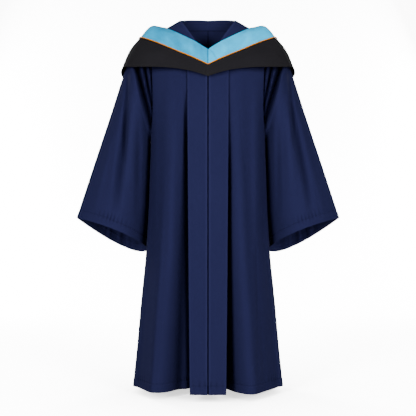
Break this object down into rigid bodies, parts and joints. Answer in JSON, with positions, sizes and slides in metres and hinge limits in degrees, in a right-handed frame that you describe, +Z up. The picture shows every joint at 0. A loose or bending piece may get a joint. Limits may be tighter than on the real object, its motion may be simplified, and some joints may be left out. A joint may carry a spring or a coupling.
{
  "type": "graduation gown with hood",
  "caption": "Full-length graduation gown with pleated front, bell sleeves and a V-shaped hood with a satin lining round the shoulders.",
  "frame": {"origin": "middle of the neck opening, level with its sides, where the wearer's neck and shoulders carry the gown", "axes": "+Z up along the gown's length, the front faces -Y, +X to the wearer's left"},
  "size_m": [0.8414, 0.3528, 1.1715],
  "materials": {
    "navy_cloth": "dull, fine plain weave",
    "sky_blue_satin": "satin",
    "black_cloth": "dull, fine plain weave",
    "orange_cord": "satin"
  },
  "bodies": {
    "root": {"yoke_left": "navy_cloth", "yoke_right": "navy_cloth", "front_left": "navy_cloth", "front_right": "navy_cloth", "back_left": "navy_cloth", "back_right": "navy_cloth", "sleeve_left": "navy_cloth", "sleeve_right": "navy_cloth", "neck_facing": "navy_cloth", "hood_lining_left": "sky_blue_satin", "hood_lining_right": "sky_blue_satin", "hood_shell_left": "black_cloth", "hood_shell_right": "black_cloth", "hood_piping": "orange_cord"}
  },
  "joints": []
}
